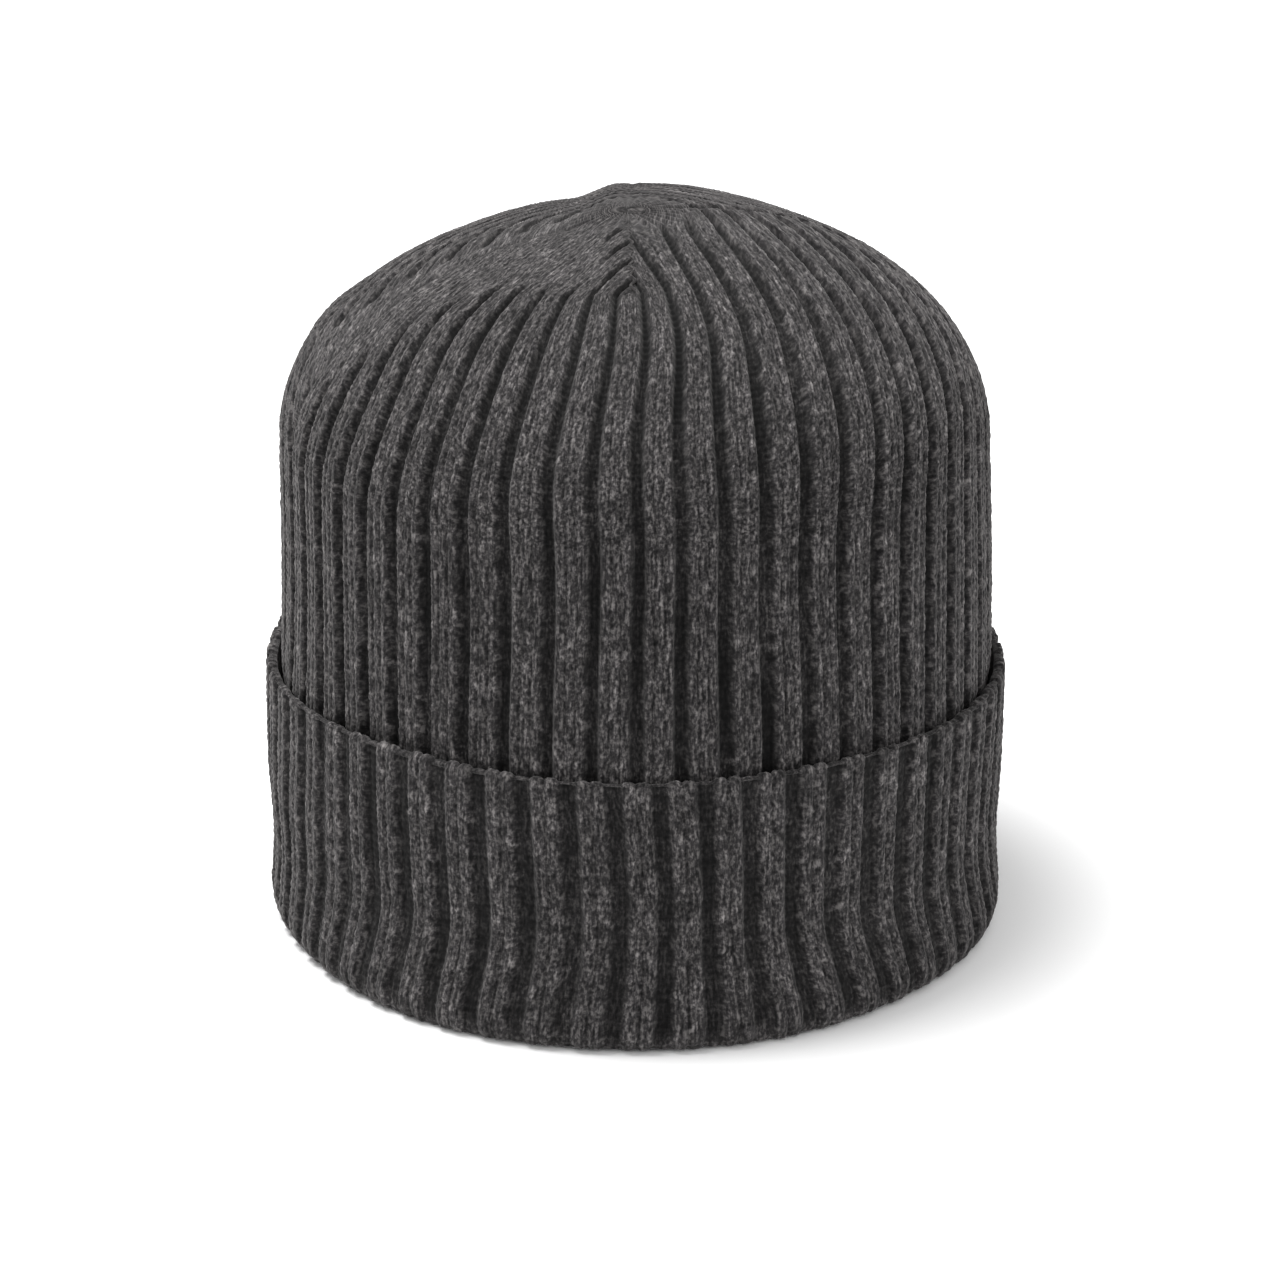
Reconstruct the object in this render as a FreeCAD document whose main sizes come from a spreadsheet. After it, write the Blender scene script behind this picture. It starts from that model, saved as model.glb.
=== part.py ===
"""Knit beanie with a turned-up cuff: oval body, four-gore crown, cuff and care label.

Origin: centre of the opening, on the surface that the beanie stands on.
+Z points up to the crown, -Y is the front, +Y the back with the closing seam.
"""

import FreeCAD, Part
import os

doc = FreeCAD.newDocument("knit_beanie")

# Driving dimensions: alias, millimetres, meaning.
DIMENSIONS = [
    ("body_half_width", "86", "outside of the body, centre to side"),
    ("body_half_depth", "98", "outside of the body, centre to front"),
    ("fabric", "3", "thickness of the rib fabric"),
    ("dome_base", "121", "height where the straight sides end"),
    ("dome_rise", "54", "height of the domed crown"),
    ("seam_turn", "20", "degrees that the side seams of the crown are turned, the left one forward"),
    ("cuff_height", "67", "height of the turned-up cuff"),
    ("cuff_gap", "0.4", "air between the body and the cuff"),
    ("cuff_fabric", "3.2", "thickness of the cuff layer"),
    ("fold_height", "6", "height of the roll where the fabric turns up"),
    ("fold_round", "2.6", "radius of the roll's lower outer corner"),
    ("edge_height", "4", "height of the knitted starting edge"),
    ("edge_swell", "0.4", "how far the starting edge stands proud"),
    ("edge_round", "1.2", "radius of the starting edge's top corners"),
    ("seam_width", "2.4", "width of a linked seam"),
    ("tack_radius", "4", "radius of the gathered point at the top"),
    ("tack_proud", "1.2", "how far the gathered point stands up"),
    ("tack_round", "1", "radius of its top corner"),
    ("label_width", "22", "width of the care label"),
    ("label_drop", "34", "length of the care label below its stitching"),
    ("label_tape", "0.8", "thickness of the folded label tape"),
    ("label_top", "108", "height of the label's stitched edge"),
    ("label_gap", "1.3", "air behind the middle of the label"),
    ("stitch_gap", "0.6", "slack of the tape between the label and its stitching"),
    ("stitch_band", "3", "height of the sewn band above the label"),
]

sheet = doc.addObject("Spreadsheet::Sheet", "Dimensions")
for row, (alias, value, meaning) in enumerate(DIMENSIONS, start=1):
    sheet.set(f"A{row}", alias)
    sheet.set(f"B{row}", value)
    sheet.set(f"C{row}", meaning)
    sheet.setAlias(f"B{row}", alias)
doc.recompute()

UPRIGHT = FreeCAD.Vector(0, 0, 1)
QUARTER_TURN = FreeCAD.Rotation(UPRIGHT, 90)
# Millimetres within which an edge counts as lying at a height.
TOLERANCE = 0.01


def dim(formula):
    """An expression in which every alias is looked up in the sheet."""
    words = formula.split()
    aliases = {alias for alias, value, meaning in DIMENSIONS}
    return " ".join(f"Dimensions.{word}" if word in aliases else word for word in words)


def bind(thing, **formulas):
    """Bind properties to formulas of the driving dimensions."""
    for name, formula in formulas.items():
        thing.setExpression(name, dim(formula))


def put(thing, x="0", y="0", z="0"):
    """Bind the position of an object to formulas of the driving dimensions."""
    for axis, formula in (("x", x), ("y", y), ("z", z)):
        if formula != "0":
            thing.setExpression(f".Placement.Base.{axis}", dim(formula))


def box(name, length, width, height, x, y, z="0"):
    """A box with its low corner at x, y, z."""
    block = doc.addObject("Part::Box", name)
    bind(block, Length=length, Width=width, Height=height)
    put(block, x, y, z)
    return block


def cut(name, base, tool):
    result = doc.addObject("Part::Cut", name)
    result.Base = base
    result.Tool = tool
    return result


def common(name, base, tool):
    result = doc.addObject("Part::Common", name)
    result.Base = base
    result.Tool = tool
    return result


def oval_prism(name, outset, base, height):
    """An upright oval column, outset from the outside of the body."""
    oval = doc.addObject("Part::Ellipse", name + "_oval")
    bind(oval, MajorRadius=f"body_half_depth + {outset}", MinorRadius=f"body_half_width + {outset}")
    oval.Placement = FreeCAD.Placement(FreeCAD.Vector(0, 0, 0), QUARTER_TURN)
    put(oval, z=base)
    column = doc.addObject("Part::Extrusion", name)
    column.Base = oval
    column.DirMode = "Custom"
    column.Dir = FreeCAD.Vector(0, 0, 1)
    column.Solid = True
    bind(column, LengthFwd=height)
    return column


def oval_ring(name, outer, inner, base, height):
    """An upright oval ring between two outsets from the outside of the body."""
    outside = oval_prism(name + "_outside", outer, base, height)
    inside = oval_prism(name + "_inside", inner, base, height)
    return cut(name, outside, inside)


def half_ellipsoid(name, inset):
    """The upper half of an ellipsoid, inset from the outside of the crown."""
    dome = doc.addObject("Part::Ellipsoid", name)
    dome.Angle1 = 0
    dome.Angle2 = 90
    dome.Angle3 = 360
    bind(
        dome,
        Radius1=f"dome_rise - {inset}",
        Radius2=f"body_half_width - {inset}",
        Radius3=f"body_half_depth - {inset}",
    )
    put(dome, z="dome_base")
    return dome


def rounded(name, base, radius, picks):
    """Round the horizontal edges of base that picks accepts."""
    doc.recompute()
    result = doc.addObject("Part::Fillet", name)
    result.Base = base
    size = sheet.get(radius)
    chosen = [index for index, edge in enumerate(base.Shape.Edges, start=1) if picks(edge)]
    result.Edges = [(index, size, size) for index in chosen]
    return result


def seam_slot(name, base, height):
    """The space of the closing seam, through the wall at the middle of the back."""
    return box(name, "seam_width", "2 * body_half_depth", height, "0 - seam_width / 2", "0", base)


def split_at_seam(wall, seam_name, base, height):
    """Part a ring at the closing seam: the wall without the seam, and the seam."""
    slot = seam_slot(seam_name + "_slot", base, height)
    seam = common(seam_name, wall, slot)
    panel = cut(wall.Name + "_open", wall, slot)
    return panel, seam


def body_tube():
    """The straight lower part of the body, closed by a seam at the back."""
    wall = oval_ring("body_wall", "0", "-1 * fabric", "0", "dome_base")
    return split_at_seam(wall, "back_seam", "0", "dome_base")


def turned(thing, angle):
    """Turn an object about the upright axis by a formula in degrees."""
    thing.Placement.Rotation = FreeCAD.Rotation(UPRIGHT, 1)
    thing.setExpression(".Placement.Rotation.Angle", dim(angle))
    return thing


def sector(name, start, sweep):
    """A wedge of the crown, from one seam to the next, by angles from the +X axis."""
    wedge = doc.addObject("Part::Cylinder", name)
    bind(wedge, Radius="2 * body_half_depth", Height="dome_rise", Angle=sweep)
    put(wedge, z="dome_base")
    return turned(wedge, start)


def seam_strip(name, angle):
    """The upright slab that holds one seam, from the top outwards at an angle from the +X axis."""
    # The slab starts at the upright axis and is centred on it: a box turned about its own corner
    # is moved back by half its width.
    slab = doc.addObject("Part::Box", name)
    bind(slab, Length="body_half_depth", Width="seam_width", Height="dome_rise")
    half = "seam_width / 2"
    put(slab, f"{half} * sin( {angle} )", f"0 - {half} * cos( {angle} )", "dome_base")
    return turned(slab, angle)


def crown_pieces():
    """Four domed gores, the seams between them and the gathered point at the top."""
    shell = cut("dome_shell", half_ellipsoid("dome_outside", "0"), half_ellipsoid("dome_inside", "fabric"))
    eye = doc.addObject("Part::Cylinder", "tack_hole")
    bind(eye, Radius="tack_radius", Height="dome_rise")
    put(eye, z="dome_base + dome_rise / 2")
    crown = cut("crown_shell", shell, eye)

    seam_angles = {
        "crown_seam_front": "270 deg",
        "crown_seam_right": "seam_turn * 1 deg",
        "crown_seam_back": "90 deg",
        "crown_seam_left": "180 deg + seam_turn * 1 deg",
    }
    slabs = {name: seam_strip(name + "_slab", angle) for name, angle in seam_angles.items()}
    pieces = {name: common(name, crown, slab) for name, slab in slabs.items()}
    seams = doc.addObject("Part::MultiFuse", "seam_cross")
    seams.Shapes = list(slabs.values())
    panels = cut("crown_panels", crown, seams)

    wedges = {
        "crown_gore_front_right": ("270 deg", "90 deg + seam_turn * 1 deg"),
        "crown_gore_back_right": ("seam_turn * 1 deg", "90 deg - seam_turn * 1 deg"),
        "crown_gore_back_left": ("90 deg", "90 deg + seam_turn * 1 deg"),
        "crown_gore_front_left": ("180 deg + seam_turn * 1 deg", "90 deg - seam_turn * 1 deg"),
    }
    for name, (start, sweep) in wedges.items():
        pieces[name] = common(name, panels, sector(name + "_wedge", start, sweep))
    return pieces


def crown_tack():
    """The stitches that gather the four gores at the top, as a rounded button."""
    stud = doc.addObject("Part::Cylinder", "tack_stud")
    bind(stud, Radius="tack_radius", Height="fabric + tack_proud")
    put(stud, z="dome_base + dome_rise - fabric")

    def is_top(edge):
        return edge.BoundBox.ZMin > stud.Shape.BoundBox.ZMax - TOLERANCE

    return rounded("tack_button", stud, "tack_round", is_top)


def cuff_layer():
    """The upright outer layer of the cuff, closed by a seam at the back."""
    height = "cuff_height - edge_height - fold_height"
    wall = oval_ring("cuff_wall", "cuff_gap + cuff_fabric", "cuff_gap", "fold_height", height)
    return split_at_seam(wall, "cuff_back_seam", "fold_height", height)


def cuff_fold():
    """The roll at the bottom, where the fabric turns up into the cuff."""
    roll = oval_ring("fold_ring", "cuff_gap + cuff_fabric", "cuff_gap", "0", "fold_height")
    middle_width = 2 * sheet.body_half_width + 2 * sheet.cuff_gap + sheet.cuff_fabric

    def is_lower_outer(edge):
        limits = edge.BoundBox
        return limits.ZMax < TOLERANCE and limits.XLength > middle_width

    return rounded("fold_roll", roll, "fold_round", is_lower_outer)


def cuff_edge():
    """The knitted starting edge along the top of the cuff."""
    base = "cuff_height - edge_height"
    swell = "cuff_gap + cuff_fabric + edge_swell"
    ring = oval_ring("edge_ring", swell, "cuff_gap", base, "edge_height")

    def is_top(edge):
        return edge.BoundBox.ZMin > sheet.cuff_height - TOLERANCE

    return rounded("edge_welt", ring, "edge_round", is_top)


def label_pieces():
    """The care label, hanging inside the back, and the band of stitches that holds it."""
    inner_wall = "body_half_depth - fabric"
    left = "0 - label_width / 2"
    tape_y = inner_wall + " - label_gap - label_tape"
    label_z = "label_top - label_drop"
    label = box("label_tape_loop", "label_width", "label_tape", "label_drop", left, tape_y, label_z)
    band_depth = "2 * label_tape + label_gap"
    sewn = box("label_band", "label_width", band_depth, "stitch_band", left, tape_y, "label_top + stitch_gap")
    inside = oval_prism("label_backing", "-1 * fabric", "label_top", "2 * stitch_band")
    return label, common("label_stitch_band", sewn, inside)


def name_piece(piece, label):
    piece.Label = label
    pieces[label] = piece


pieces = {}
body, back_seam = body_tube()
name_piece(body, "body_tube")
name_piece(back_seam, "back_seam")
for gore_name, gore in crown_pieces().items():
    name_piece(gore, gore_name)
name_piece(crown_tack(), "crown_tack")
cuff, cuff_seam = cuff_layer()
name_piece(cuff, "cuff_layer")
name_piece(cuff_seam, "cuff_back_seam")
name_piece(cuff_fold(), "cuff_fold")
name_piece(cuff_edge(), "cuff_edge")
care_label, stitches = label_pieces()
name_piece(care_label, "care_label")
name_piece(stitches, "label_stitches")

doc.recompute()

for thing in doc.Objects:
    if "Invalid" in thing.State or "Error" in thing.State:
        raise RuntimeError(f"{thing.Name} did not build: {thing.State}")
for label, piece in pieces.items():
    if piece.Shape.isNull() or not piece.Shape.isValid() or not piece.Shape.Solids:
        raise RuntimeError(f"{label} has no valid solid")

os.makedirs("parts", exist_ok=True)
for label, piece in pieces.items():
    piece.Shape.exportStep(f"parts/{label}.step")
    limits = piece.Shape.BoundBox
    print(f"{label}: {piece.Shape.Volume / 1000:.2f} cm3, z {limits.ZMin:.2f} to {limits.ZMax:.2f}")
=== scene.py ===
"""Looks of the rib-knit beanie: ribs, wales and stitches as real geometry, in melange yarn.

Lengths are in metres. The oval body is measured in ribs round it, from the middle of the front
towards +X, and in metres of fabric up it, which is the height as far as the dome's base.
"""

import math

import bpy
import numpy as np
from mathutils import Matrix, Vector


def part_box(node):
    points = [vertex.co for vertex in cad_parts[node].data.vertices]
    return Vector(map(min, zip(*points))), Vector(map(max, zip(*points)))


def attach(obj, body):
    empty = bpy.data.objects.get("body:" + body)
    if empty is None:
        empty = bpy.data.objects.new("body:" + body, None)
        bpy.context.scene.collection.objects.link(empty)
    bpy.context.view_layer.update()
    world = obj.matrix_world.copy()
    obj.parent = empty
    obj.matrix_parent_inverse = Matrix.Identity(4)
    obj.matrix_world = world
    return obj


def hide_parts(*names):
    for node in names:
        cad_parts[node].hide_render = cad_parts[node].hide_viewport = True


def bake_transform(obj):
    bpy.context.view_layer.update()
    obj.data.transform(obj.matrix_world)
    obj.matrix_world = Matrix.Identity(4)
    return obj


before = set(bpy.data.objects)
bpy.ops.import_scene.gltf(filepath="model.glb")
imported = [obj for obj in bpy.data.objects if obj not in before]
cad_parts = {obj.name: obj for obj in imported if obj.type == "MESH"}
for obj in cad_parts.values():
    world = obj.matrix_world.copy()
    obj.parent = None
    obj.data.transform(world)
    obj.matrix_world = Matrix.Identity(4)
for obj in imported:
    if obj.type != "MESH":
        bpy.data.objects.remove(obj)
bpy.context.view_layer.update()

MM = 0.001

# Sizes of the frame.
HALF_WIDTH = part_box("body_tube")[1].x
HALF_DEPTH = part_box("body_tube")[1].y
DOME_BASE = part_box("body_tube")[1].z
DOME_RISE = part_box("crown_gore_front_right")[1].z - DOME_BASE
CUFF_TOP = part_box("cuff_edge")[1].z
CUFF_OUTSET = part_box("cuff_layer")[1].x - HALF_WIDTH
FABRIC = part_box("back_seam")[1].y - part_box("back_seam")[0].y
DEPTH_RATIO = HALF_DEPTH / HALF_WIDTH

# The knitting: ribs round the body, wales in each rib and courses up it.
RIBS = 56
PITCH = 10.33 * MM
COURSE = 2.0 * MM
WALE_SAMPLES = 6
GROOVE_SAMPLES = 6
ROW = 0.4 * MM
LEGS = 6
COURSES = 150
BACK = RIBS / 2

# The crown, placed by its share of the full width: 1 at the dome's base and 0 at the top.
# The front seam starts at SEAM_SHARE, the ribs fade out above PLAIN_SHARE, the seams' grooves
# above GROOVE_SHARE, and the gathered cap begins at CAP_SHARE.
DOME_LENGTH = 116 * MM
SEAM_SHARE = 0.48
GORES = {
    "front_right": (0, 17),
    "back_right": (17, 28),
    "back_left": (28, 45),
    "front_left": (45, 56),
}
SEAMS = (0, *(last for first, last in GORES.values()))
PLAIN_SHARE = 0.19
GROOVE_SHARE = 0.12
CAP_SHARE = 0.085
CAP_END = 0.9995
CROWN_LEAN_X = -2 * MM
CROWN_LEAN_Y = -3 * MM


def smoothstep(x, low=0.0, high=1.0):
    """0 below low, 1 above high, and a smooth rise between them."""
    t = np.clip((x - low) / (high - low), 0, 1)
    return t * t * (3 - 2 * t)


# ---------------------------------------------------------------- the oval and the fabric's base


def oval_table(steps=7200):
    """Ribs round the oval against the angle, with equal lengths of edge for equal ribs."""
    angle = np.linspace(0, 2 * math.pi, steps + 1)
    speed = np.hypot(np.cos(angle), DEPTH_RATIO * np.sin(angle))
    length = np.concatenate([[0], np.cumsum((speed[1:] + speed[:-1]) / 2)])
    return angle, length / length[-1] * RIBS


OVAL_ANGLE, OVAL_RIB = oval_table()


def angle_of(rib):
    """The oval's angle at a rib count, which may run past a whole turn."""
    turns = np.floor(rib / RIBS)
    return np.interp(rib - turns * RIBS, OVAL_RIB, OVAL_ANGLE) + 2 * math.pi * turns


def waves(count, round_max, up_max, seed):
    """A smooth random ripple of the fabric, between about -1 and 1, whole round the body."""
    draw = np.random.default_rng(seed)
    round_counts = draw.integers(1, round_max + 1, count) * draw.choice([-1, 1], count)
    up_counts = draw.uniform(0.2, up_max, count)
    starts = draw.uniform(0, 2 * math.pi, count)

    def ripple(rib, up):
        total = 0
        for turns, rise, start in zip(round_counts, up_counts, starts):
            total = total + np.sin(2 * math.pi * (turns * rib / RIBS + rise * up / 0.1) + start)
        return total / math.sqrt(count)

    return ripple


body_sway = waves(6, 9, 1.6, 21)
body_swell = waves(6, 7, 1.4, 22)
cuff_sway = waves(6, 9, 2.0, 23)
cuff_swell = waves(6, 8, 1.8, 24)

RIB_PROUD = 0.6 * MM
STRAIGHT_TAPER = 1.5 * MM
TAPER_START = 60 * MM
CUFF_ROOM = 1.2 * MM
CUFF_ROOM_TOP = 66 * MM
CUFF_ROOM_FADE = 11 * MM
LEFT_SLUMP = 3.0 * MM


def body_half_width(height):
    """Half the body's width over the ribs, drawn in behind the cuff and towards the dome."""
    drawn_in = CUFF_ROOM * (1 - smoothstep(height, CUFF_ROOM_TOP - CUFF_ROOM_FADE, CUFF_ROOM_TOP))
    taper = STRAIGHT_TAPER * smoothstep(height, TAPER_START, DOME_BASE)
    return HALF_WIDTH + RIB_PROUD - drawn_in - taper


def dome_share(up):
    """The share of the full width that is left, from 1 at the dome's base to 0 at its top."""
    climb = np.clip((up - DOME_BASE) / DOME_LENGTH, 0, 1)
    return np.cos(climb * math.pi / 2)


def body_base(rib, up):
    """The smooth surface over the ribs of the body and crown."""
    angle = angle_of(rib)
    height = np.minimum(up, DOME_BASE)
    climb = np.clip((up - DOME_BASE) / DOME_LENGTH, 0, 1) * math.pi / 2
    share = np.cos(climb)
    half = body_half_width(height)
    lean = (1 - share) ** 2
    x = half * share * np.sin(angle) + CROWN_LEAN_X * lean
    y = -DEPTH_RATIO * half * share * np.cos(angle) + CROWN_LEAN_Y * lean
    z = height + DOME_RISE * np.sin(climb)
    z = z - LEFT_SLUMP * left_slump(x, y, climb)
    return np.stack(np.broadcast_arrays(x, y, z), -1)


def left_slump(x, y, climb):
    """Where the left of the crown lies lower than the right, from 0 to 1."""
    beside = smoothstep(-x, 4 * MM, 16 * MM)
    shoulder = smoothstep(x, -80 * MM, -62 * MM)
    behind = 0.55 + 0.45 * smoothstep(y, -30 * MM, 25 * MM)
    return beside * shoulder * behind * smoothstep(climb, 0.2, 0.6)


RIB_STEP = 0.02
UP_STEP = 0.1 * MM


def normals(base, rib, up):
    """Outward unit normals of a base surface, by small steps along both ways of the fabric."""
    across = base(rib + RIB_STEP, up) - base(rib - RIB_STEP, up)
    along = base(rib, up + UP_STEP) - base(rib, up - UP_STEP)
    normal = np.cross(across, along)
    length = np.linalg.norm(normal, axis=-1, keepdims=True)
    return normal / np.maximum(length, 1e-12)


# ---------------------------------------------------------------- the knitting


class Rib:
    """The section of one kind of rib: its wales, widths and depths."""

    def __init__(self, wales, ridge_share, depth, wale_dip, stitch, seed):
        self.wales = wales
        self.ridge_share = ridge_share
        self.depth = depth
        self.wale_dip = wale_dip
        self.stitch = stitch
        draw = np.random.default_rng(seed)
        self.loops = draw.normal(0, 1, (RIBS * LEGS, COURSES))
        self.widths = draw.uniform(-1, 1, RIBS)
        # Slow ripples in how deep the painted shade in the grooves goes.
        self.groove_shade_ripple = waves(8, 28, 2.5, seed + 1)

    def phases(self):
        """Sample places across one rib, closer together where the section turns."""
        low = 0.5 - self.ridge_share / 2
        high = 0.5 + self.ridge_share / 2
        count = self.wales * WALE_SAMPLES + (3 - self.wales) * WALE_SAMPLES // 2
        ridge = low + self.ridge_share * np.arange(count) / count
        groove = high + (1 - self.ridge_share) * np.arange(GROOVE_SAMPLES) / GROOVE_SAMPLES
        return np.sort(np.concatenate([ridge, groove]) % 1.0)

    def height(self, rib, up, pitch, strength=1.0):
        """Height of the fabric over its base, below 0 in the grooves, and its colour factor: painted
        shade in the grooves and between the stitches, times a random tone of each stitch.
        """
        phase = rib - np.floor(rib)
        own = self.widths[np.floor(rib).astype(int) % RIBS]
        squeezed = np.clip(1 - pitch / PITCH, 0, 1)
        share = self.ridge_share + 0.03 * own + 0.22 * squeezed
        beside = np.abs(phase - 0.5)
        inside = (share / 2 - beside) * pitch
        ridge = np.sin(math.pi / 2 * np.clip((inside + 0.5 * MM) / (1.3 * MM), 0, 1))
        across = (phase - 0.5 + share / 2) / share * self.wales
        wale = np.clip(np.floor(across), 0, self.wales - 1)
        place = np.clip(across - wale - 0.5, -0.5, 0.5)
        side = np.abs(2 * place)
        course = up / COURSE
        leg = course + 0.6 * side
        row = np.floor(leg).astype(int)
        hand = np.floor(rib).astype(int) * LEGS + wale.astype(int) * 2 + (place > 0)
        loose = self.loops[hand % self.loops.shape[0], row % self.loops.shape[1]]
        along = np.abs(leg - row - 0.5) * 2
        waist = 1 - (1 - np.abs(2 * side - 1) ** 2) * 0.9
        knit = -self.wale_dip * side**2.4 - self.stitch * (along**2.5 + waist * (1 - side))
        knit = knit + 0.07 * MM * loose
        purl = 0.5 * self.stitch * np.cos(2 * math.pi * course) + 0.2 * MM * np.cos(4 * math.pi * phase)
        depth = self.depth * np.clip(pitch / PITCH, 0.4, 1) ** 0.3
        height = strength * (-depth * (1 - ridge)) + ridge * knit + (1 - ridge) * purl
        # Painted shade in the grooves: the colour darkens down each groove, unevenly along it, and
        # darker still where the ribs are squeezed together.
        groove_shade_depth = np.clip(0.8 + 0.1 * self.groove_shade_ripple(rib, up), 0.6, 0.94)
        groove = (1 - groove_shade_depth * strength * (1 - ridge) ** 0.7) ** (1 + 3 * squeezed)
        # Painted shade between the wales, at the ends of each stitch's legs and between the two legs of
        # each stitch.
        gap_shade = 1 - ridge * (0.5 * side**2.5 + 0.22 * along**3 + 0.3 * (1 - side) ** 4)
        streak = self.loops[(hand * 7) % self.loops.shape[0], (row // 3) % self.loops.shape[1]]
        tone = np.exp(0.24 * np.clip(loose, -2, 2) + 0.16 * np.clip(streak, -2, 2))
        return height, groove * gap_shade * tone


BODY_RIB = Rib(
    wales=3,
    ridge_share=0.71,
    depth=2.4 * MM,
    wale_dip=0.6 * MM,
    stitch=0.2 * MM,
    seed=31,
)
CUFF_RIB = Rib(
    wales=2,
    ridge_share=0.65,
    depth=1.8 * MM,
    wale_dip=0.75 * MM,
    stitch=0.22 * MM,
    seed=32,
)


# How many ribs the front moves over, how much of their width the ribs on the right keep as the
# crown narrows, how far those on the left draw together, and how the ribs turn into the front seam.
FRONT_DRIFT = 0.4
RIGHT_KEPT = 0.3
RIGHT_PULL = 5.5
LEFT_GATHER = 0.2
LEFT_PULL = 10.5


def front_drift(share):
    """How many ribs the front of the body has moved over at each share of the width."""
    return FRONT_DRIFT * smoothstep(1 - share, 0, 0.4)


def right_count(rib, share):
    """Ribs counted from the front over the right of the crown.

    They narrow more slowly than the crown and lean back, so the outer ones run into the seam on
    the right.
    """
    drift = front_drift(share)
    drift = drift - RIGHT_PULL * np.clip(SEAM_SHARE - share, 0, 0.3) * np.exp(-((rib / 2.2) ** 2))
    lean = 0.04 * (1 / np.maximum(share, 0.05) - 1)
    lean = lean + 0.011 * (1 - np.exp(-(1 - share) / 0.05))
    return (rib - drift) / (1 + RIGHT_KEPT * (1 - share) + lean * rib)


def left_count(rib, share):
    """Ribs counted from the front over the left of the crown, which draw together up it."""
    gather = 1 + LEFT_GATHER * smoothstep(1 - share, 0, 0.4)
    drift = front_drift(share) * gather / (1 + RIGHT_KEPT * (1 - share))
    closing = np.clip((0.5 - share) / 0.5, 0, 1)
    return (rib + drift) / gather * (1 - closing) + LEFT_PULL * np.clip(0.5 - share, 0, 0.5)


def back_count(rib, share):
    """Ribs counted from the front, past the seam at the side, that lean to the seam at the back."""
    half = BACK
    side = RIBS / 4
    at_side = right_count(np.full_like(rib, side), share)
    at_back = np.maximum(half * share, at_side + 1)
    beyond = at_side + (at_back - at_side) * (rib - side) / (half - side)
    return np.where(rib < side, right_count(rib, share), beyond)


def rib_count(rib, share, gore):
    """Which rib of the knitting lies at each place of a gore."""
    if gore == "front_right":
        return right_count(rib, share)
    if gore == "back_right":
        return back_count(rib, share)
    if gore == "back_left":
        return RIBS - back_count(RIBS - rib, share)
    return RIBS - left_count(RIBS - rib, share)


BAND_FRONT = -36 * MM
BAND_NOTCH = 7 * MM
BAND_NOTCH_X = -17 * MM
BAND_NOTCH_WIDTH = 9 * MM
BAND_BACK = -8 * MM
BAND_BACK_SLANT = 15 * MM


def unribbed(points, share):
    """Where the crown is stretched flat: a band over the left and the middle of the top, 0 to 1."""
    x = points[..., 0]
    y = points[..., 1]
    notch = np.exp(-(((x - BAND_NOTCH_X) / BAND_NOTCH_WIDTH) ** 2))
    front_edge = BAND_FRONT - BAND_NOTCH * notch
    back_edge = BAND_BACK + BAND_BACK_SLANT * smoothstep(x, -42 * MM, -5 * MM)
    band = smoothstep(y - front_edge, -3 * MM, 4 * MM)
    band = band * smoothstep(back_edge - y, -4 * MM, 4 * MM)
    band = band * smoothstep(-x, 3 * MM, 11 * MM) * smoothstep(1 - share, 0.01, 0.1)
    return np.maximum(band, smoothstep(0.16 - share, -0.02, 0.05))


# The stretched band, the plain top and its gathers, the swell of the fabric, and the depth and
# width of the grooves along the seams. The last two say where along the crown a groove opens.
FLAT_DEPTH = 0.5 * MM
PLAIN_DEPTH = 0.4 * MM
GATHER = 0.3 * MM
BODY_SWELL = 0.35 * MM
SEAM_DEPTH = 1.0 * MM
SEAM_GROOVE = 0.9 * MM
FRONT_SEAM = (1 - SEAM_SHARE - 0.06, 1 - SEAM_SHARE)
OTHER_SEAMS = (0, 0.003)


def body_knit(rib, up, gore):
    """Height over the base, painted shade and tone, and rib count of the fabric at each place of the
    body.
    """
    share = dome_share(up)
    counted = rib_count(rib, share, gore)
    around = PITCH * share
    rise = rib_count(rib + RIB_STEP, share, gore) - rib_count(rib - RIB_STEP, share, gore)
    slope = rise / (2 * RIB_STEP)
    pitch = around / np.clip(np.abs(slope), 0.05, 5)
    flat = unribbed(body_base(rib, up), share)
    plain = smoothstep(PLAIN_SHARE - share, 0, 0.07)
    dip = 0
    for seam in SEAMS:
        away = np.abs(rib - seam) * around
        start, end = FRONT_SEAM if seam in (0, RIBS) else OTHER_SEAMS
        depth = smoothstep(1 - share, start, end)
        if seam == BACK:
            depth = depth * (1 - 0.7 * smoothstep(0.6 - share, 0, 0.15))
        dip = dip + depth * np.exp(-((away / SEAM_GROOVE) ** 2))
    dip = np.minimum(dip, 1) * (1 - smoothstep(GROOVE_SHARE - share, 0, 0.04))
    strength = 1 - 0.9 * flat
    sway = 0.07 * body_sway(rib, up) * (1 - smoothstep(1 - share, 0.2, 0.5))
    height, shade = BODY_RIB.height(counted + sway, up, pitch, strength)
    height = height - FLAT_DEPTH * flat
    gathers = np.cos(RIBS * angle_of(rib) / 2)
    height = height + (GATHER * gathers - PLAIN_DEPTH - height) * plain
    height = height + (-SEAM_DEPTH - height) * dip
    height = height + BODY_SWELL * body_swell(rib, up) * smoothstep(share, 0.1, 0.5)
    # The stretched band is painted a tenth lighter: partly painted light, standing in for the top light
    # falling on it, and partly the stretched fabric's own paler look.
    shade = shade * (1 + 0.1 * flat)
    # On the plain top the colour goes to an even 0.75, with painted shade in the gathers' folds and
    # painted light on their crests.
    shade = shade + (0.75 + 0.1 * gathers - shade) * 0.85 * plain
    # Painted shade in the seams' grooves, down to half the colour at their bottoms.
    shade = shade * (1 - 0.5 * dip)
    return height, shade, counted


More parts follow.
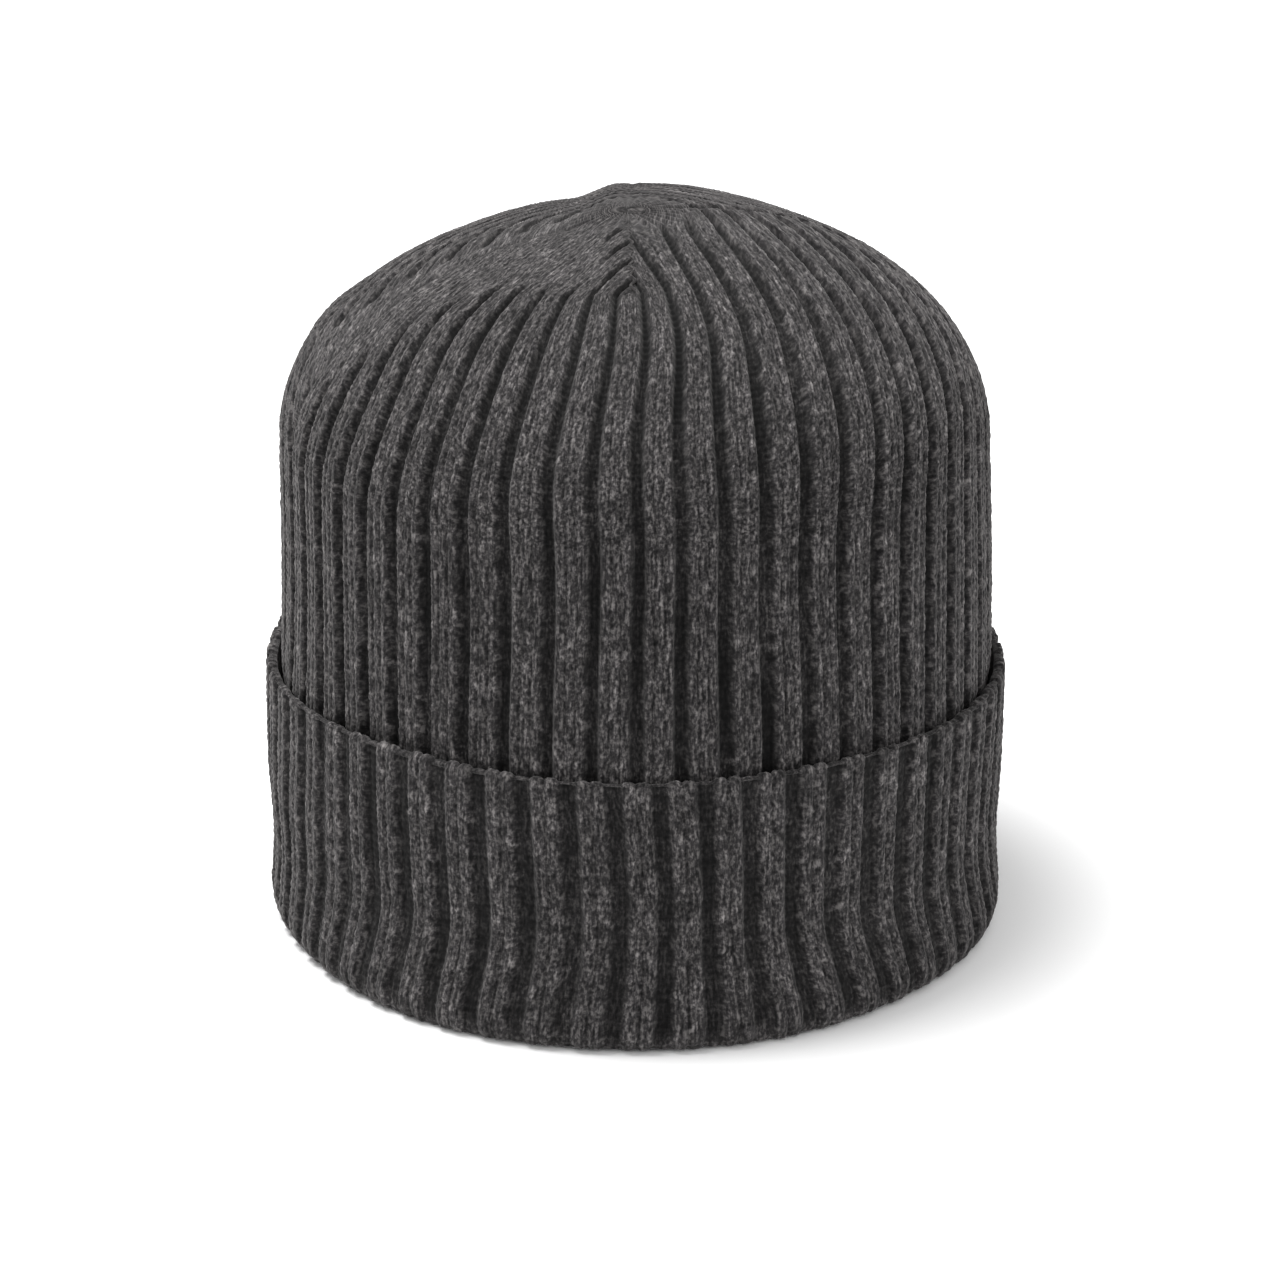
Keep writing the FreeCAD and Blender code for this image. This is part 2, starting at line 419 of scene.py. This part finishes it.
def body_surface(gore="front_right"):
    """The outside of the body and of one gore: points, shade and fabric coordinates."""

    def surface(rib, up):
        height, shade, counted = body_knit(rib, up, gore)
        points = body_base(rib, up) + normals(body_base, rib, up) * height[..., None]
        return points, shade, np.stack([counted * PITCH, up], -1)

    return surface


REVERSE_DEPTH = 2.2 * MM
REVERSE_RELIEF = 0.42


def body_reverse(gore="front_right"):
    """The inside of the body and of one gore, where the outside's grooves stand up a little."""

    def surface(rib, up):
        height, shade, counted = body_knit(rib, up, gore)
        inward = REVERSE_RELIEF * height - REVERSE_DEPTH
        points = body_base(rib, up) + normals(body_base, rib, up) * inward[..., None]
        # The inside keeps the outside's shade and tone squeezed to 0.4 to 0.8: painted shade inside the
        # hat.
        return points, 0.4 + 0.4 * shade, np.stack([counted * PITCH, up], -1)

    return surface


# ---------------------------------------------------------------- the cuff

ROLL_HEIGHT = 6.5 * MM
ROLL_INSIDE = -FABRIC - 0.6 * MM
CUFF_SHIFT = 0.42
CUFF_PROUD = 0.5 * MM
CUFF_SWELL = 0.4 * MM
EDGE_RADIUS = 1.5 * MM
EDGE_RISE = 0.7 * MM
RIGHT_DIP = 3.6 * MM
LEFT_DIP = 3.0 * MM
WAIST_DEPTH = 1.0 * MM
WAIST_HEIGHT = 20 * MM
WAIST_SPREAD = 13 * MM
FOOT_FAN = 0.75
FOLD_RADIUS = 5 * MM


def cuff_top(rib):
    """Height of the cuff's upper edge, which dips a little at the sides."""
    angle = angle_of(rib)
    right = np.clip(np.sin(angle), 0, 1) ** 4
    left = np.clip(-np.sin(angle), 0, 1) ** 8
    return CUFF_TOP + EDGE_RISE - RIGHT_DIP * right - LEFT_DIP * left


def cuff_outset(height):
    """How far the cuff's outside stands off the body, with a waist above the roll."""
    waist = WAIST_DEPTH * np.exp(-(((height - WAIST_HEIGHT) / WAIST_SPREAD) ** 2))
    return CUFF_OUTSET + CUFF_PROUD - waist


def cuff_section(along, top):
    """Outset and height along the cuff's section.

    It runs from the inside of the wall (-1) round the roll to the outside (0 at the roll's top),
    up the outside (to 1), over the edge (to 2) and down the cuff's back (to 3).
    """
    turn = np.clip(-along, 0, 1) * math.pi
    outer = cuff_outset(ROLL_HEIGHT)
    middle = (outer + ROLL_INSIDE) / 2
    half = (outer - ROLL_INSIDE) / 2
    roll_out = middle + half * np.cos(turn)
    roll_up = ROLL_HEIGHT * (1 - np.sin(turn))

    shoulder = top - EDGE_RADIUS
    climb = np.clip(along, 0, 1)
    wall_up = ROLL_HEIGHT + (shoulder - ROLL_HEIGHT) * climb
    wall_out = cuff_outset(wall_up)

    over = np.clip(along - 1, 0, 1) * math.pi
    edge_out = cuff_outset(shoulder) - EDGE_RADIUS * (1 - np.cos(over))
    edge_up = shoulder + EDGE_RADIUS * np.sin(over)

    down = np.clip(along - 2, 0, 1)
    back_up = shoulder - (shoulder - ROLL_HEIGHT) * down
    back_out = cuff_outset(back_up) - 2 * EDGE_RADIUS

    out = np.select([along < 0, along <= 1, along <= 2], [roll_out, wall_out, edge_out], back_out)
    up = np.select([along < 0, along <= 1, along <= 2], [roll_up, wall_up, edge_up], back_up)
    return out, up


def cuff_base(rib, along):
    """The smooth surface over the cuff's ribs."""
    out, up = cuff_section(along, cuff_top(rib))
    low = 1 - smoothstep(up, 3 * MM, 32 * MM)
    turn = 2 * math.pi * rib / RIBS
    fanned = rib + FOOT_FAN * low * np.sin(turn) * np.maximum(np.cos(turn) + 0.35, 0)
    angle = angle_of(fanned)
    half = HALF_WIDTH + out
    deep = HALF_DEPTH + out
    return np.stack(np.broadcast_arrays(half * np.sin(angle), -deep * np.cos(angle), up), -1)


ALONG_STEP = 0.004


def cuff_normals(rib, along):
    """Outward unit normals of the cuff's base."""
    across = cuff_base(rib + RIB_STEP, along) - cuff_base(rib - RIB_STEP, along)
    upward = cuff_base(rib, along + ALONG_STEP) - cuff_base(rib, along - ALONG_STEP)
    normal = np.cross(across, upward)
    return normal / np.maximum(np.linalg.norm(normal, axis=-1, keepdims=True), 1e-12)


def cuff_length(along):
    """Metres of fabric along the cuff's section, from the top of the roll."""
    wall = CUFF_TOP - EDGE_RADIUS - ROLL_HEIGHT
    rim_end = wall + math.pi * EDGE_RADIUS
    lengths = [-math.pi * FOLD_RADIUS, 0, wall, rim_end, 2 * wall]
    return np.interp(along, [-1, 0, 1, 2, 3], lengths)


def cuff_surface(rib, along):
    """Points, shade and fabric coordinates of the cuff."""
    metres = cuff_length(along)
    sway = 0.08 * cuff_sway(rib, metres)
    counted = rib + CUFF_SHIFT + sway
    rim = smoothstep(along, 0.95, 1.3)
    under = smoothstep(-along, 0.05, 0.45)
    height, shade = CUFF_RIB.height(counted, metres, PITCH, 1 - 0.5 * rim - 0.7 * under)
    height = height + CUFF_SWELL * cuff_swell(rib, metres) * (1 - smoothstep(along, 1.5, 2))
    hidden = smoothstep(along, 1.7, 2.0)
    height = height * (1 - 0.85 * hidden)
    points = cuff_base(rib, along) + cuff_normals(rib, along) * height[..., None]
    points[..., 2] = np.maximum(points[..., 2], 0)
    return points, shade, np.stack([counted * PITCH, metres], -1)


# ---------------------------------------------------------------- meshes


UV_SCALE = 10
TUBE_SIDES = 6
TAPERED_END = 0.3


def new_mesh(name, points, faces, fabric, shade, material):
    """A mesh object with fabric coordinates and the painted shade and tone of each point."""
    mesh = bpy.data.meshes.new(name)
    mesh.vertices.add(len(points))
    mesh.vertices.foreach_set("co", np.asarray(points, np.float32).ravel())
    corners = np.concatenate([np.asarray(f, np.int32).ravel() for f in faces])
    sizes = np.concatenate([np.full(len(f), np.shape(f)[1]) for f in faces])
    mesh.loops.add(len(corners))
    mesh.loops.foreach_set("vertex_index", corners)
    mesh.polygons.add(len(sizes))
    starts = np.concatenate([[0], np.cumsum(sizes)[:-1]])
    mesh.polygons.foreach_set("loop_start", starts.astype(np.int32))
    mesh.update(calc_edges=True)
    layer = mesh.uv_layers.new(name="Knit")
    layer.data.foreach_set("uv", np.asarray(fabric[corners] * UV_SCALE, np.float32).ravel())
    tones = mesh.attributes.new("shade", "FLOAT", "POINT")
    tones.data.foreach_set("value", np.asarray(shade, np.float32))
    mesh.polygons.foreach_set("use_smooth", np.full(len(sizes), True))
    mesh.materials.append(material)
    piece = bpy.data.objects.new(name, mesh)
    bpy.context.scene.collection.objects.link(piece)
    return piece


def rib_columns(kind, first, last, shift=0.0):
    """Column places from one rib to another, following the rib's own samples."""
    samples = kind.phases()
    whole = np.arange(math.floor(first) - 1, math.ceil(last) + 2)
    places = (whole[:, None] + samples - shift).ravel()
    places = places[(places > first + 0.01) & (places < last - 0.01)]
    return np.concatenate([[first], places, [last]])


def grid_faces(rows, columns):
    """Four-cornered faces over a grid of points, row by row."""
    corner = (np.arange(rows - 1)[:, None] * columns + np.arange(columns - 1)).ravel()
    return np.stack([corner, corner + 1, corner + columns + 1, corner + columns], -1)


def sheet_piece(name, surface, columns, rows, material, inward=False):
    """A piece of fabric over a grid of places."""
    across, up = np.meshgrid(columns, rows)
    points, shade, fabric = surface(across, up)
    faces = grid_faces(len(rows), len(columns))
    if inward:
        faces = faces[:, ::-1]
    points = points.reshape(-1, 3)
    fabric = fabric.reshape(-1, 2)
    return new_mesh(name, points, [faces], fabric, shade.ravel(), material)


def zipped(upper_start, lower_start, lower, upper):
    """Triangles between two rows of different counts, both spread from 0 to 1."""
    faces = []
    i = 0
    j = 0
    while i < len(lower) - 1 or j < len(upper) - 1:
        upper_done = j == len(upper) - 1
        if upper_done or (i < len(lower) - 1 and lower[i + 1] <= upper[j + 1]):
            faces.append((lower_start + i, lower_start + i + 1, upper_start + j))
            i += 1
        else:
            faces.append((lower_start + i, upper_start + j + 1, upper_start + j))
            j += 1
    return faces


def narrowing_piece(name, surface, columns, rows, material, cell, inward=False):
    """A piece whose rows have fewer columns as it narrows to the top of the crown.

    Its first row has the given columns, to meet the piece below.
    """
    span = columns[-1] - columns[0]
    width = span * PITCH
    row_spreads = [(columns - columns[0]) / span]
    for share in dome_share(rows[1:]):
        stepped = math.ceil(share * 24) / 24
        row_spreads.append(np.linspace(0, 1, max(int(width * stepped / cell), 10) + 1))
    counts = np.array([len(s) for s in row_spreads])
    starts = np.concatenate([[0], np.cumsum(counts)])
    across = np.concatenate([columns[0] + span * s for s in row_spreads])
    points, shade, fabric = surface(across, np.repeat(rows, counts))
    quads = []
    triangles = []
    for i in range(len(rows) - 1):
        if counts[i] == counts[i + 1] and i > 0:
            corner = starts[i] + np.arange(counts[i] - 1)
            above = starts[i + 1] + np.arange(counts[i] - 1)
            quads.append(np.stack([corner, corner + 1, above + 1, above], -1))
        else:
            triangles += zipped(starts[i + 1], starts[i], row_spreads[i], row_spreads[i + 1])
    faces = [np.concatenate(quads), np.array(triangles)]
    if inward:
        faces = [f[:, ::-1] for f in faces]
    return new_mesh(name, points, faces, fabric, shade, material)


def rows_between(low, high, step):
    """Evenly spread rows about one step apart."""
    return np.linspace(low, high, max(int(round((high - low) / step)), 1) + 1)


def tube(name, path, radius, material):
    """A round yarn along a path of points."""
    path = np.asarray(path, float)
    ahead = np.gradient(path, axis=0)
    ahead /= np.linalg.norm(ahead, axis=1, keepdims=True)
    upright = np.array([0.3, 0.2, 1.0])
    aside = np.cross(ahead, upright)
    aside /= np.linalg.norm(aside, axis=1, keepdims=True)
    out = np.cross(aside, ahead)
    sides = TUBE_SIDES
    turn = np.arange(sides) / sides * 2 * math.pi
    thick = np.full(len(path), radius)
    thick[[0, -1]] = radius * TAPERED_END
    cosine = np.cos(turn)[None, :, None]
    sine = np.sin(turn)[None, :, None]
    ring = cosine * aside[:, None] + sine * out[:, None]
    points = path[:, None] + ring * thick[:, None, None]
    index = np.arange(len(path) - 1)[:, None] * sides + np.arange(sides)
    side = np.arange(len(path) - 1)[:, None] * sides + (np.arange(sides) + 1) % sides
    quads = np.stack([index, side, side + sides, index + sides], -1).reshape(-1, 4)
    caps = [np.arange(sides)[::-1], (len(path) - 1) * sides + np.arange(sides)]
    length = np.concatenate([[0], np.cumsum(np.linalg.norm(np.diff(path, axis=0), axis=1))])
    fabric = np.stack(np.broadcast_arrays(turn[None, :] * radius, length[:, None]), -1)
    fabric = fabric.reshape(-1, 2)
    shade = np.full(len(fabric), 0.7)
    faces = [quads, np.array(caps)]
    return new_mesh(name, points.reshape(-1, 3), faces, fabric, shade, material)


# ---------------------------------------------------------------- materials


def node(tree, kind, **values):
    """A shader node with its inputs or settings filled in."""
    made = tree.nodes.new(kind)
    for key, value in values.items():
        if key in made.inputs:
            made.inputs[key].default_value = value
        else:
            setattr(made, key, value)
    return made


def yarn_material(name, dark, middle, light):
    """Melange yarn: dark and light fibres spun together, lying along the wales."""
    material = bpy.data.materials.new(name)
    material.use_nodes = True
    tree = material.node_tree
    shader = tree.nodes["Principled BSDF"]
    shader.inputs["Roughness"].default_value = 0.92
    shader.inputs["Specular IOR Level"].default_value = 0.15
    shader.inputs["Sheen Weight"].default_value = 0.15
    shader.inputs["Sheen Roughness"].default_value = 0.45
    shader.inputs["Sheen Tint"].default_value = (0.75, 0.73, 0.72, 1)
    place = node(tree, "ShaderNodeUVMap", uv_map="Knit")

    def fibres(stretch, scale, detail, rough):
        bent = node(tree, "ShaderNodeMapping")
        bent.inputs["Scale"].default_value = stretch
        tree.links.new(place.outputs["UV"], bent.inputs["Vector"])
        noise = node(tree, "ShaderNodeTexNoise", Scale=scale, Detail=detail, Roughness=rough)
        tree.links.new(bent.outputs["Vector"], noise.inputs["Vector"])
        return noise.outputs["Fac"]

    streaks = fibres((1.0, 0.22, 1.0), 140, 3, 0.6)
    specks = fibres((1.0, 0.7, 1.0), 140, 2, 0.6)
    patches = fibres((1.0, 0.5, 1.0), 9, 2, 0.5)

    mixed = node(tree, "ShaderNodeMath", operation="MULTIPLY_ADD")
    mixed.inputs[1].default_value = 0.55
    tree.links.new(streaks, mixed.inputs[0])
    half = node(tree, "ShaderNodeMath", operation="MULTIPLY")
    half.inputs[1].default_value = 0.45
    tree.links.new(specks, half.inputs[0])
    tree.links.new(half.outputs[0], mixed.inputs[2])

    ramp = node(tree, "ShaderNodeValToRGB")
    ramp.color_ramp.elements[0].position = 0.39
    ramp.color_ramp.elements[0].color = (*dark, 1)
    ramp.color_ramp.elements[1].position = 0.61
    ramp.color_ramp.elements[1].color = (*light, 1)
    centre = ramp.color_ramp.elements.new(0.5)
    centre.color = (*middle, 1)
    tree.links.new(mixed.outputs[0], ramp.inputs["Fac"])

    tone = node(tree, "ShaderNodeMapRange")
    tone.inputs["From Min"].default_value = 0.3
    tone.inputs["From Max"].default_value = 0.7
    tone.inputs["To Min"].default_value = 0.88
    tone.inputs["To Max"].default_value = 1.12
    tree.links.new(patches, tone.inputs["Value"])

    # The shade attribute multiplies the colour: painted shade in the grooves, seams and gathers,
    # between the stitches and inside the hat, with painted light on the stretched band, times each
    # stitch's random tone.
    shade = node(tree, "ShaderNodeAttribute", attribute_name="shade")
    both = node(tree, "ShaderNodeMath", operation="MULTIPLY")
    tree.links.new(tone.outputs[0], both.inputs[0])
    tree.links.new(shade.outputs["Fac"], both.inputs[1])
    colour = node(tree, "ShaderNodeVectorMath", operation="SCALE")
    tree.links.new(ramp.outputs["Color"], colour.inputs[0])
    tree.links.new(both.outputs[0], colour.inputs["Scale"])
    tree.links.new(colour.outputs[0], shader.inputs["Base Color"])

    bump = node(tree, "ShaderNodeBump", Strength=0.5, Distance=0.25 * MM)
    tree.links.new(mixed.outputs[0], bump.inputs["Height"])
    tree.links.new(bump.outputs["Normal"], shader.inputs["Normal"])
    return material


YARN_DARK = (0.007, 0.0066, 0.007)
YARN_MIDDLE = (0.036, 0.0335, 0.0342)
YARN_LIGHT = (0.12, 0.113, 0.111)
knit_yarn = yarn_material("melange_knit", YARN_DARK, YARN_MIDDLE, YARN_LIGHT)
cuff_yarn = yarn_material("melange_cuff", YARN_DARK, YARN_MIDDLE, YARN_LIGHT)
seam_thread = yarn_material("seam_yarn", YARN_DARK, (0.04, 0.037, 0.037), (0.1, 0.095, 0.093))


# ---------------------------------------------------------------- pieces of the shell

HIDDEN_TOP = 58 * MM
CROWN_CELL = 0.47 * MM
REVERSE_ROW = 1.2 * MM
REVERSE_CELL = 1.1 * MM
CAP_ROW = 0.5 * MM
CAP_COLUMNS = 161
PANELS = {
    "front_right": (0, 14),
    "back_right": (14, 28),
    "back_left": (28, 42),
    "front_left": (42, 56),
}


def up_at(share):
    """Metres of fabric up the body where a share of the full width is left."""
    return DOME_BASE + DOME_LENGTH * math.acos(share) / (math.pi / 2)


def knit_on(piece, body, slot, *nodes):
    """Let a piece ride on a body, in place of CAD nodes. The slot is not used."""
    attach(piece, body)
    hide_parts(*nodes)


for place, (first, last) in PANELS.items():
    columns = rib_columns(BODY_RIB, first, last)
    rows = rows_between(HIDDEN_TOP, DOME_BASE, ROW)
    panel = sheet_piece("body_" + place, body_surface(), columns, rows, knit_yarn)
    knit_on(panel, "shell", "rib_knit", "body_tube")
    rows = rows_between(HIDDEN_TOP, DOME_BASE, REVERSE_ROW)
    name = "reverse_" + place
    panel = sheet_piece(name, body_reverse(), columns[::2], rows, knit_yarn, inward=True)
    knit_on(panel, "shell", "rib_knit", "body_tube")

cap_up = up_at(CAP_SHARE)
for place, (first, last) in GORES.items():
    columns = rib_columns(BODY_RIB, first, last)
    rows = rows_between(DOME_BASE, cap_up, ROW)
    gore = narrowing_piece("gore_" + place, body_surface(place), columns, rows, knit_yarn, CROWN_CELL)
    knit_on(gore, "shell", "rib_knit", "crown_gore_" + place)
    rows = rows_between(DOME_BASE, cap_up, REVERSE_ROW)
    lining = narrowing_piece(
        "gore_reverse_" + place,
        body_reverse(place),
        columns[::2],
        rows,
        knit_yarn,
        REVERSE_CELL,
        inward=True,
    )
    knit_on(lining, "shell", "rib_knit", "crown_gore_" + place)

cap = sheet_piece(
    "crown_gather",
    body_surface(),
    np.linspace(0, RIBS, CAP_COLUMNS),
    rows_between(cap_up, DOME_BASE + DOME_LENGTH * CAP_END, CAP_ROW),
    knit_yarn,
)
knit_on(cap, "shell", "seam_yarn", "crown_tack")

# ---------------------------------------------------------------- pieces of the cuff

for place, (first, last) in PANELS.items():
    columns = rib_columns(CUFF_RIB, first, last, CUFF_SHIFT)
    rows = rows_between(0, 1, ROW / (CUFF_TOP - ROLL_HEIGHT))
    panel = sheet_piece("cuff_" + place, cuff_surface, columns, rows, cuff_yarn)
    knit_on(panel, "cuff", "cuff_knit", "cuff_layer")
    rows = rows_between(2, 3, REVERSE_ROW / (CUFF_TOP - ROLL_HEIGHT))
    panel = sheet_piece("cuff_reverse_" + place, cuff_surface, columns[::2], rows, cuff_yarn)
    knit_on(panel, "cuff", "cuff_knit", "cuff_layer")

RIM_ROWS = 14
ROLL_ROWS = 34
ring = rib_columns(CUFF_RIB, 0, RIBS, CUFF_SHIFT)
edge = sheet_piece("cuff_rim", cuff_surface, ring, rows_between(1, 2, 1 / RIM_ROWS), cuff_yarn)
knit_on(edge, "cuff", "cuff_knit", "cuff_edge")
roll = sheet_piece("cuff_roll", cuff_surface, ring, rows_between(-1, 0, 1 / ROLL_ROWS), cuff_yarn)
knit_on(roll, "cuff", "cuff_knit", "cuff_fold")

# ---------------------------------------------------------------- the layer behind the cuff

LAYER_FOOT = ROLL_HEIGHT - 1 * MM
LAYER_ROW = 0.7 * MM


def hang_between(piece, node_name):
    """Put a piece in place of a CAD node, with its transform baked into its points."""
    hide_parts(node_name)
    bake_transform(piece)


for place, (first, last) in PANELS.items():
    columns = rib_columns(BODY_RIB, first, last)
    rows = rows_between(LAYER_FOOT, HIDDEN_TOP, LAYER_ROW)
    layer = sheet_piece("layer_" + place, body_surface(), columns, rows, knit_yarn)
    hang_between(layer, "body_tube")
    rows = rows_between(LAYER_FOOT, HIDDEN_TOP, REVERSE_ROW)
    name = "layer_reverse_" + place
    layer = sheet_piece(name, body_reverse(), columns[::2], rows, knit_yarn, inward=True)
    hang_between(layer, "body_tube")

# ---------------------------------------------------------------- seams


SEAM_STEP = 0.45 * MM
SEAM_SWING = 0.5 * MM
CROWN_YARN = 0.4 * MM
CROWN_YARN_LIFT = -1.2 * MM
BACK_YARN = 0.45 * MM
BACK_YARN_LIFT = -2.2 * MM
CUFF_YARN_DEPTH = 1.7 * MM


def seam_path(rib, up, lift):
    """Points up a seam, lifted off the base surface."""
    base = body_base(np.full_like(up, rib), up)
    return base + normals(body_base, np.full_like(up, rib), up) * lift


def stitched_seam(name, rib, up, lift, radius):
    """A yarn that zigzags along a seam, once from side to side in each course."""
    centre = seam_path(rib, up, lift)
    aside = seam_path(rib + 0.05, up, lift) - seam_path(rib - 0.05, up, lift)
    aside /= np.linalg.norm(aside, axis=-1, keepdims=True)
    turn = np.cos(math.pi * up / COURSE)
    return tube(name, centre + aside * (SEAM_SWING * turn)[:, None], radius, seam_thread)


seam_low = up_at(SEAM_SHARE)
for place, rib in zip(("front", "right", "back", "left"), SEAMS):
    up = np.arange(seam_low, cap_up, SEAM_STEP)
    seam = stitched_seam("seam_" + place, rib, up, CROWN_YARN_LIFT, CROWN_YARN)
    knit_on(seam, "shell", "seam_yarn", "crown_seam_" + place)

up = np.arange(HIDDEN_TOP, DOME_BASE, SEAM_STEP)
seam = stitched_seam("back_seam_yarn", BACK, up, BACK_YARN_LIFT, BACK_YARN)
knit_on(seam, "shell", "seam_yarn", "back_seam")
up = np.arange(LAYER_FOOT, HIDDEN_TOP, SEAM_STEP)
seam = stitched_seam("back_seam_low", BACK, up, BACK_YARN_LIFT, BACK_YARN)
hang_between(seam, "back_seam")

along = np.arange(0.0, 1.0, 0.008)
centre = cuff_base(np.full_like(along, BACK), along)
out = cuff_normals(np.full_like(along, BACK), along)
zigzag = np.cos(math.pi * cuff_length(along) / COURSE)[:, None] * np.array([SEAM_SWING, 0, 0])
seam = tube("cuff_seam_yarn", centre - out * CUFF_YARN_DEPTH + zigzag, BACK_YARN, seam_thread)
knit_on(seam, "cuff", "seam_yarn", "cuff_back_seam")

# ---------------------------------------------------------------- the care label


def woven_material(name, colour, thread_scale):
    """A plain woven tape with a fine over-and-under of its threads."""
    material = bpy.data.materials.new(name)
    material.use_nodes = True
    tree = material.node_tree
    shader = tree.nodes["Principled BSDF"]
    shader.inputs["Roughness"].default_value = 0.7
    place = node(tree, "ShaderNodeUVMap", uv_map="Knit")
    weave = node(tree, "ShaderNodeTexChecker", Scale=thread_scale)
    weave.inputs["Color1"].default_value = (*colour, 1)
    weave.inputs["Color2"].default_value = (*(0.8 * c for c in colour), 1)
    tree.links.new(place.outputs["UV"], weave.inputs["Vector"])
    tree.links.new(weave.outputs["Color"], shader.inputs["Base Color"])
    bump = node(tree, "ShaderNodeBump", Strength=0.3, Distance=0.1 * MM)
    tree.links.new(weave.outputs["Fac"], bump.inputs["Height"])
    tree.links.new(bump.outputs["Normal"], shader.inputs["Normal"])
    return material


TAPE_COLUMNS = 23
TAPE_ROWS = 40
TAPE_TURN = 9
TAPE_PRESSED = 0.6
TAPE_CLEAR = 0.25 * MM
STITCH_COUNT = 12
STITCH_SWING = 0.25 * MM
THREAD_RADIUS = 0.22 * MM


def label_piece():
    """The care label: one tape folded at its foot, both ends caught in the stitching."""
    low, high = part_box("care_label")
    across = np.linspace(low.x, high.x, TAPE_COLUMNS)
    face = (high.y - low.y) / 2
    middle_y = (high.y + low.y) / 2 - TAPE_CLEAR
    drop = high.z - low.z - face
    turn = np.linspace(0, math.pi, TAPE_TURN)[1:-1]
    down = np.linspace(0, drop, TAPE_ROWS)
    front = np.full(TAPE_ROWS, face)
    y = np.concatenate([front, face * np.cos(turn), -front]) * TAPE_PRESSED
    fold_z = high.z - drop - face * np.sin(turn)
    z = np.concatenate([high.z - down, fold_z, (high.z - down)[::-1]])
    length = np.concatenate([[0], np.cumsum(np.hypot(np.diff(y), np.diff(z)))])
    grid_x, grid_y = np.meshgrid(across, y)
    grid_z = np.meshgrid(across, z)[1]
    points = np.stack([grid_x, middle_y + grid_y, grid_z], -1).reshape(-1, 3)
    fabric = np.stack([grid_x, np.meshgrid(across, length)[1]], -1).reshape(-1, 2)
    faces = grid_faces(len(y), len(across))
    tape = woven_material("tape", (0.75, 0.74, 0.7), 320)
    return new_mesh("label_fold", points, [faces], fabric, np.ones(len(points)), tape)


label = label_piece()
knit_on(label, "label", "label_tape", "care_label")

low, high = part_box("label_stitches")
stitch_y = (low.y + high.y) / 2
sewing = woven_material("sewing_thread", (0.12, 0.12, 0.12), 900)
for row in range(2):
    z = low.z + (high.z - low.z) * (0.3 + 0.4 * row)
    x = np.linspace(low.x, high.x, STITCH_COUNT * 8)
    cycle = np.cos(2 * math.pi * STITCH_COUNT * (x - low.x) / (high.x - low.x))
    path = np.stack([x, stitch_y - STITCH_SWING * cycle, np.full_like(x, z)], -1)
    thread = tube(f"label_thread_{row}", path, THREAD_RADIUS, sewing)
    knit_on(thread, "shell", "label_thread", "label_stitches")

# ---------------------------------------------------------------- room, light and camera


def plain_material(name, colour, roughness):
    """One even colour."""
    material = bpy.data.materials.new(name)
    material.use_nodes = True
    shader = material.node_tree.nodes["Principled BSDF"]
    shader.inputs["Base Color"].default_value = (*colour, 1)
    shader.inputs["Roughness"].default_value = roughness
    return material


FLOOR_HALF_SIZE = 4.0


def floor_plane():
    """A pale floor, which isn't part of the object."""
    mesh = bpy.data.meshes.new("floor")
    size = FLOOR_HALF_SIZE
    corners = [(-size, -size, 0), (size, -size, 0), (size, size, 0), (-size, size, 0)]
    mesh.from_pydata(corners, [], [(0, 1, 2, 3)])
    mesh.materials.append(plain_material("pale_floor", (0.9, 0.9, 0.9), 0.8))
    floor = bpy.data.objects.new("floor", mesh)
    bpy.context.scene.collection.objects.link(floor)


def area_light(name, place, target, size, power):
    """A round soft light that faces a target."""
    data = bpy.data.lights.new(name, "AREA")
    data.shape = "DISK"
    data.size = size
    data.energy = power
    lamp = bpy.data.objects.new(name, data)
    bpy.context.scene.collection.objects.link(lamp)
    aim(lamp, place, target)


def aim(thing, place, target):
    """Put a light or camera at a place, facing a target."""
    thing.location = place
    thing.rotation_euler = (Vector(target) - Vector(place)).to_track_quat("-Z", "Y").to_euler()


def set_camera():
    """A long lens a little above the beanie, straight in front of it."""
    distance = 1.3
    elevation = math.radians(19.6)
    aim_x = 1.05 * MM
    aim_z = 65.7 * MM
    data = bpy.data.cameras.new("camera")
    data.sensor_width = 36
    data.lens = 150
    camera = bpy.data.objects.new("camera", data)
    bpy.context.scene.collection.objects.link(camera)
    place = (aim_x, -distance * math.cos(elevation), aim_z + distance * math.sin(elevation))
    aim(camera, place, (aim_x, 0, aim_z))
    bpy.context.scene.camera = camera


def set_world():
    """Plain white light from all round."""
    world = bpy.data.worlds.new("studio")
    world.use_nodes = True
    background = world.node_tree.nodes["Background"]
    background.inputs["Color"].default_value = (1, 1, 1, 1)
    background.inputs["Strength"].default_value = 1.0
    bpy.context.scene.world = world
    bpy.context.scene.view_settings.view_transform = "Standard"


floor_plane()
set_world()
middle = (0, 0, 0.09)
area_light("key", (-0.4, 0.05, 1.4), middle, 0.8, 25)
area_light("fill", (0.8, -1.2, 0.5), middle, 1.0, 3)
set_camera()
